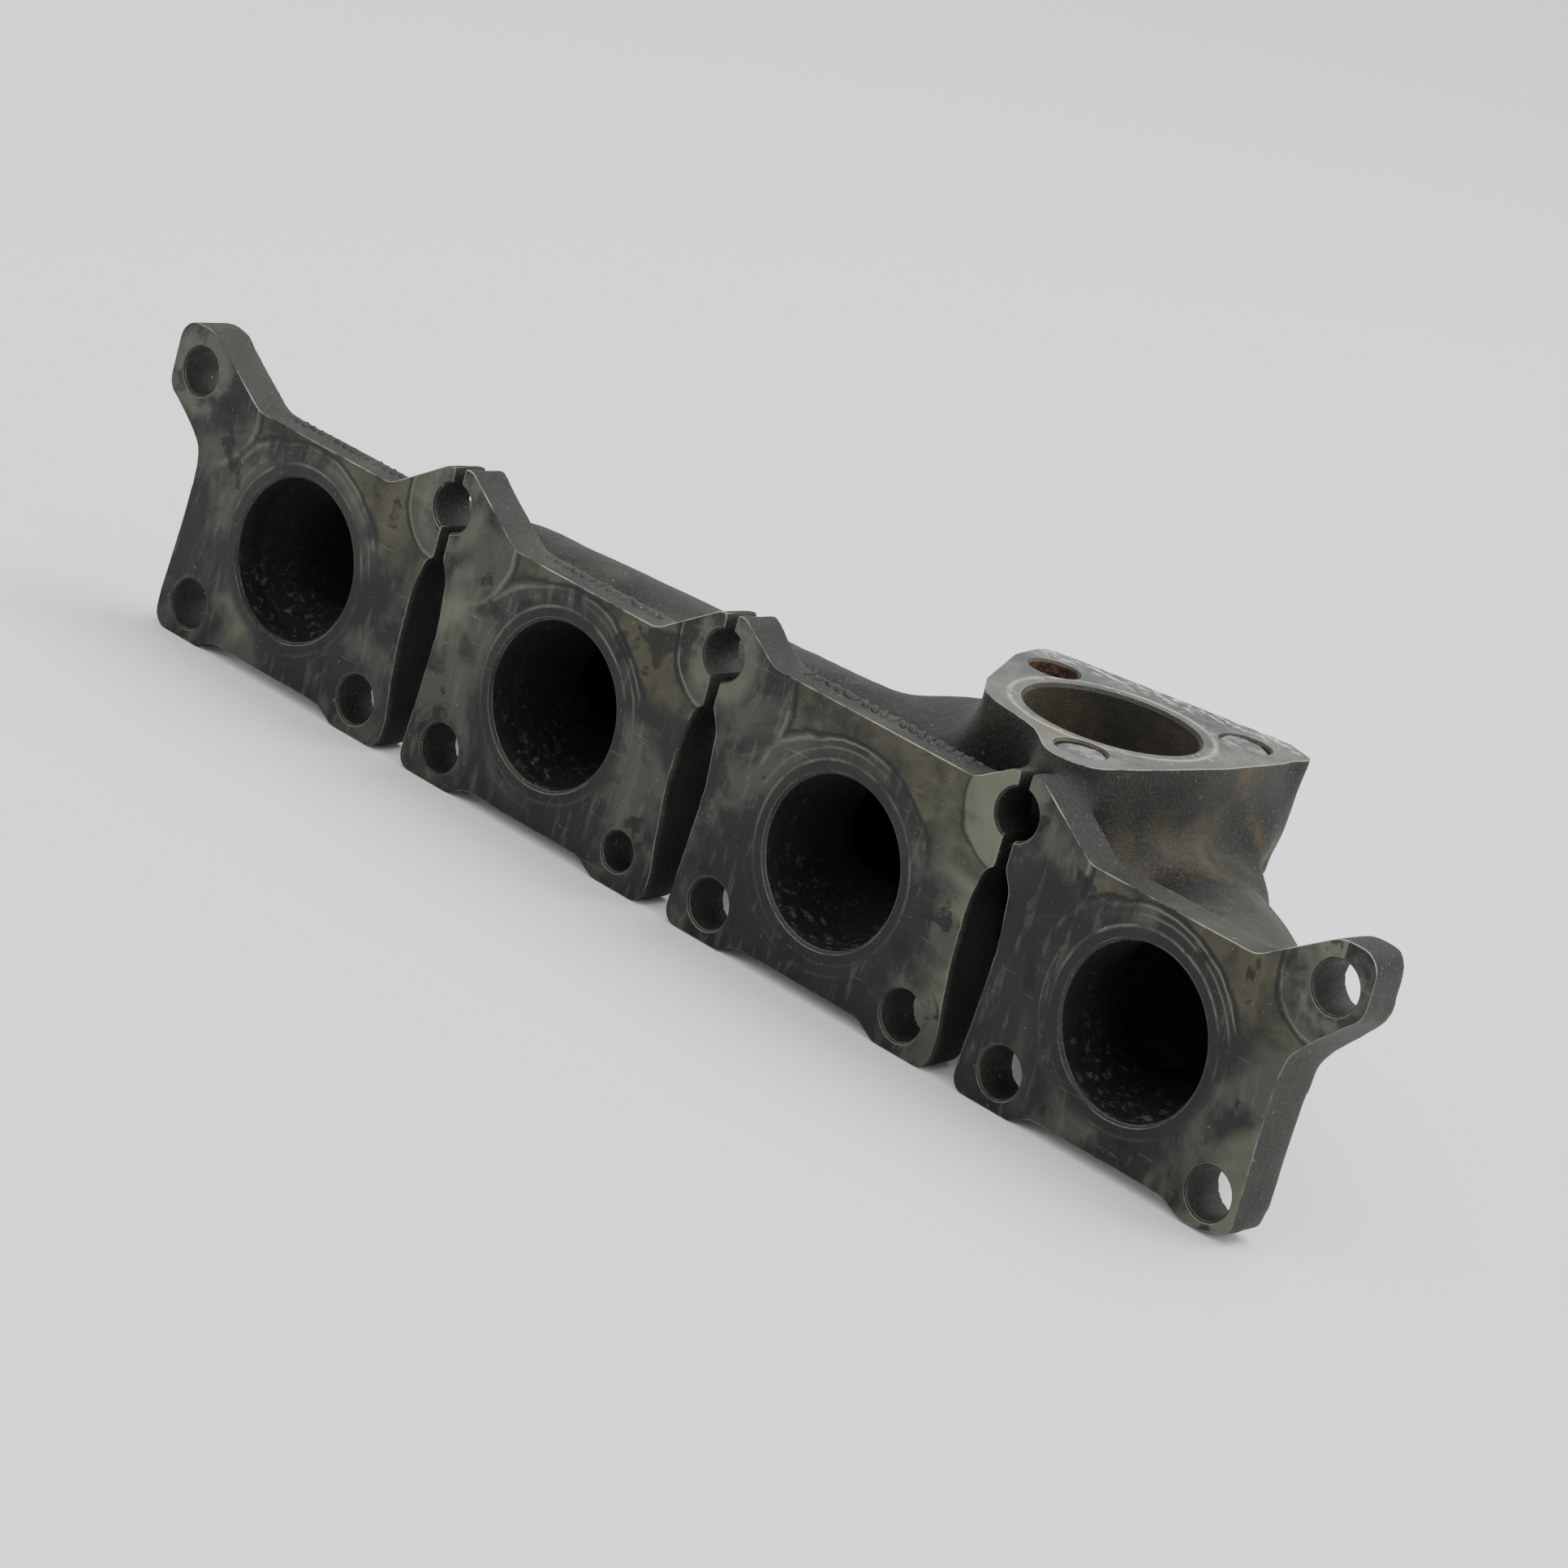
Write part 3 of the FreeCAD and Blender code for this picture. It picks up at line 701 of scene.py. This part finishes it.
# ------------------------------------------------------------------ raised foundry marks
def foundry_marks(name, start, end, count, seed):
    """Worn raised strokes in a row, as sand casting leaves them; they spell nothing."""
    tree = bpy.data.node_groups.new(name, "GeometryNodeTree")
    for label, kind in (("Start", "Vector"), ("End", "Vector"), ("Count", "Int"),
                        ("Stroke", "Float"), ("Seed", "Int")):
        tree.interface.new_socket(label, in_out="INPUT", socket_type="NodeSocket" + kind)
    tree.interface.new_socket("Geometry", in_out="OUTPUT", socket_type="NodeSocketGeometry")
    given = tree.nodes.new("NodeGroupInput")

    def step(kind, inputs, **settings):
        made = tree.nodes.new(kind)
        for key, value in settings.items():
            setattr(made, key, value)
        for key, value in inputs.items():
            if isinstance(value, bpy.types.NodeSocket):
                tree.links.new(value, made.inputs[key])
            else:
                made.inputs[key].default_value = value
        return made

    row = step("GeometryNodeMeshLine", {"Count": given.outputs["Count"],
                                        "Start Location": given.outputs["Start"],
                                        "Offset": given.outputs["End"]}, mode="END_POINTS")
    turn = step("FunctionNodeRandomValue", {0: (0.0, 0.0, 0.10), 1: (0.0, 0.0, 0.95),
                                            "Seed": given.outputs["Seed"]}, data_type="FLOAT_VECTOR")
    scale = step("FunctionNodeRandomValue", {0: (0.75, 0.55, 0.6), 1: (1.2, 1.05, 1.0),
                                             "Seed": given.outputs["Seed"]}, data_type="FLOAT_VECTOR")
    stroke = step("GeometryNodeMeshUVSphere", {"Segments": 14, "Rings": 9, "Radius": given.outputs["Stroke"]})
    shaped = step("GeometryNodeTransform", {"Geometry": stroke.outputs[0], "Scale": (0.42, 1.35, 0.42)})
    placed = step("GeometryNodeInstanceOnPoints",
                  {"Points": row.outputs["Mesh"], "Instance": shaped.outputs[0],
                   "Rotation": turn.outputs[0], "Scale": scale.outputs[0]})
    real = step("GeometryNodeRealizeInstances", {"Geometry": placed.outputs[0]})
    coated = step("GeometryNodeSetMaterial", {"Geometry": real.outputs[0], "Material": iron})
    leave = tree.nodes.new("NodeGroupOutput")
    tree.links.new(coated.outputs[0], leave.inputs["Geometry"])

    holder = keep(name, bpy.data.meshes.new(name))
    marks = holder.modifiers.new("marks", "NODES")
    marks.node_group = tree
    values = {"Start": start, "End": end, "Count": count, "Stroke": 0.0021, "Seed": seed}
    for item in tree.interface.items_tree:
        if item.in_out == "INPUT":
            marks[item.identifier] = values[item.name]
    return finished(holder, name)


MARKS = [("marks_first", (-0.151, 0.0070, -0.0021), (-0.112, 0.0070, -0.0021), 15, 3),
         ("marks_second", (-0.062, 0.0070, -0.0021), (-0.026, 0.0070, -0.0021), 14, 8),
         ("marks_third", (0.019, 0.0070, 0.0029), (0.070, 0.0070, 0.0029), 19, 5)]
marks = [foundry_marks(*row) for row in MARKS]
for piece in marks:
    piece.data.polygons.foreach_set("use_smooth", [True] * len(piece.data.polygons))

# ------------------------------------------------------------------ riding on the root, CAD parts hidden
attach(casting, "root")
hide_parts("manifold_casting")
for node, stub in stubs.items():
    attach(stub, "root")
    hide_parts(node)
for piece in marks:
    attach(piece, "root")

# ------------------------------------------------------------------ stage, light and camera
low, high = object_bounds()
floor_mesh = bpy.data.meshes.new("floor")
reach = 4.0
floor_mesh.from_pydata([(-reach, -reach, low.z), (reach, -reach, low.z), (reach, reach, low.z),
                        (-reach, reach, low.z)], [], [(0, 1, 2, 3)])
floor = keep("floor", floor_mesh)
pale = bpy.data.materials.new("pale_floor")
pale.use_nodes = True
pale.node_tree.nodes["Principled BSDF"].inputs["Base Color"].default_value = (0.86, 0.86, 0.86, 1)
pale.node_tree.nodes["Principled BSDF"].inputs["Roughness"].default_value = 0.9
floor_mesh.materials.append(pale)
floor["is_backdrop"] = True


def soft_light(name, place, aim, size, power):
    data = bpy.data.lights.new(name, "AREA")
    data.shape = "SQUARE"
    data.size = size
    data.energy = power
    lamp = bpy.data.objects.new(name, data)
    bpy.context.scene.collection.objects.link(lamp)
    lamp.location = place
    lamp.rotation_mode = "QUATERNION"
    lamp.rotation_quaternion = (Vector(aim) - Vector(place)).to_track_quat("-Z", "Y")


soft_light("top", (0.45, 0.7, 1.7), (0.05, 0, 0), 1.4, 34)
soft_light("front", (-0.9, -1.3, 0.9), (0, 0, 0), 1.0, 7)
soft_light("side", (1.6, -0.2, 0.8), (0, 0, 0), 0.9, 5)

world = bpy.data.worlds.new("studio")
bpy.context.scene.world = world
world.use_nodes = True
world.node_tree.nodes["Background"].inputs[0].default_value = (1, 1, 1, 1)
world.node_tree.nodes["Background"].inputs[1].default_value = 1.0

camera_data = bpy.data.cameras.new("camera")
camera = bpy.data.objects.new("camera", camera_data)
bpy.context.scene.collection.objects.link(camera)
bpy.context.scene.camera = camera
camera_data.sensor_width = 36
camera_data.lens = 139.84
forward = Vector((-0.593, 0.747, -0.300)).normalized()
right = forward.cross(Vector((0, -0.3632, 0.9317))).normalized()
camera.matrix_world = (Matrix.Translation((0.8072, -0.9842, 0.3757))
                       @ Matrix((right, right.cross(forward), -forward)).transposed().to_4x4())

low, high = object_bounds()
